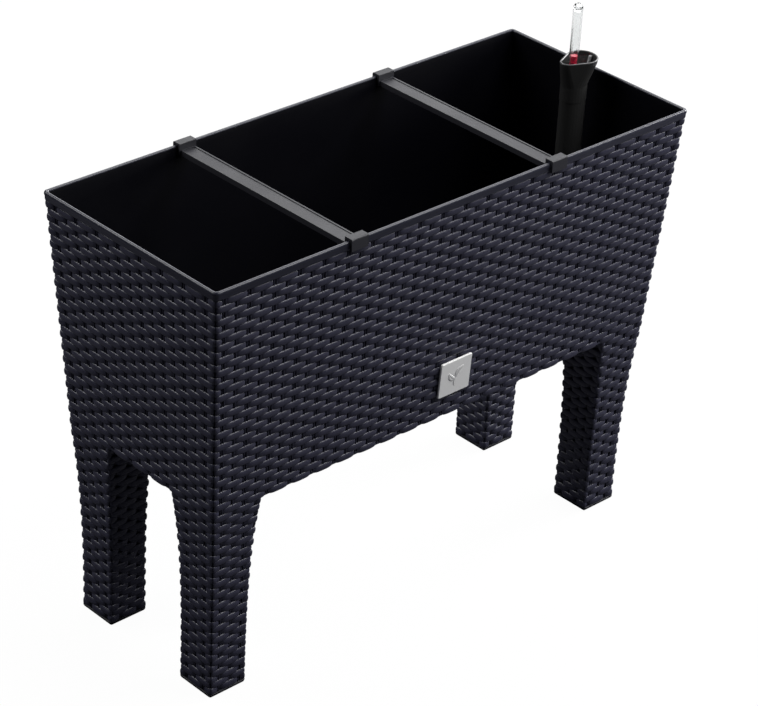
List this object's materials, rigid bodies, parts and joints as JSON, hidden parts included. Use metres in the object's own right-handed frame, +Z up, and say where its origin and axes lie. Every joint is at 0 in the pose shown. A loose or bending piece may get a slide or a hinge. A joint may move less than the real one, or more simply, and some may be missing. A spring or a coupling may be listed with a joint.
{
  "type": "raised planter on legs",
  "caption": "Raised rectangular self-watering planter with a basket-weave shell on hollow legs, clip-on cross bars, filling tube with float gauge, and perforated false floor.",
  "frame": {"origin": "on the ground under the middle of the planter", "axes": "+X along the long side towards the filling tube, -Y the front with the badge, +Z up"},
  "size_m": [0.6, 0.2482, 0.5335],
  "materials": {
    "woven_plastic": "satin moulded weave",
    "bar_plastic": "satin",
    "black_plastic": "satin",
    "clear_plastic": "clear gloss",
    "red_plastic": "gloss",
    "float_plastic": "matte",
    "badge_metal": "brushed with a bright bevel",
    "seal_rubber": "matte"
  },
  "bodies": {
    "planter": {"planter_shell": "woven_plastic", "badge_plate": "badge_metal"},
    "left_bar": {"crossbar_left": "bar_plastic"},
    "right_bar": {"crossbar_right": "bar_plastic"},
    "separator": {"separator_plate": "black_plastic", "wick_cup_left": "black_plastic", "wick_cup_middle": "black_plastic", "wick_cup_right": "black_plastic"},
    "filler": {"fill_tube": "black_plastic", "fill_funnel": "black_plastic", "sight_tube": "clear_plastic", "sight_cap": "clear_plastic"},
    "level_float": {"float_body": "float_plastic", "float_rod": "float_plastic", "float_marker": "red_plastic"},
    "drain": {"drain_plug": "black_plastic", "drain_seal": "seal_rubber"}
  },
  "joints": [
    {"name": "left_bar_lift", "type": "slide", "parent": "planter", "child": "left_bar", "axis": [0, 0, 1], "range_m": [0, 0.06]},
    {"name": "right_bar_lift", "type": "slide", "parent": "planter", "child": "right_bar", "axis": [0, 0, 1], "range_m": [0, 0.06]},
    {"name": "separator_lift", "type": "slide", "parent": "planter", "child": "separator", "axis": [0, 0, 1], "range_m": [0, 0.15]},
    {"name": "filler_lift", "type": "slide", "parent": "separator", "child": "filler", "axis": [0, 0, 1], "range_m": [0, 0.25]},
    {"name": "float_rise", "type": "slide", "parent": "filler", "child": "level_float", "axis": [0, 0, 1], "range_m": [0, 0.045]},
    {"name": "drain_unscrew", "type": "hinge", "parent": "planter", "child": "drain", "pos_m": [-0.085, 0, 0.21], "axis": [0, 0, -1], "range_deg": [0, 540]}
  ]
}
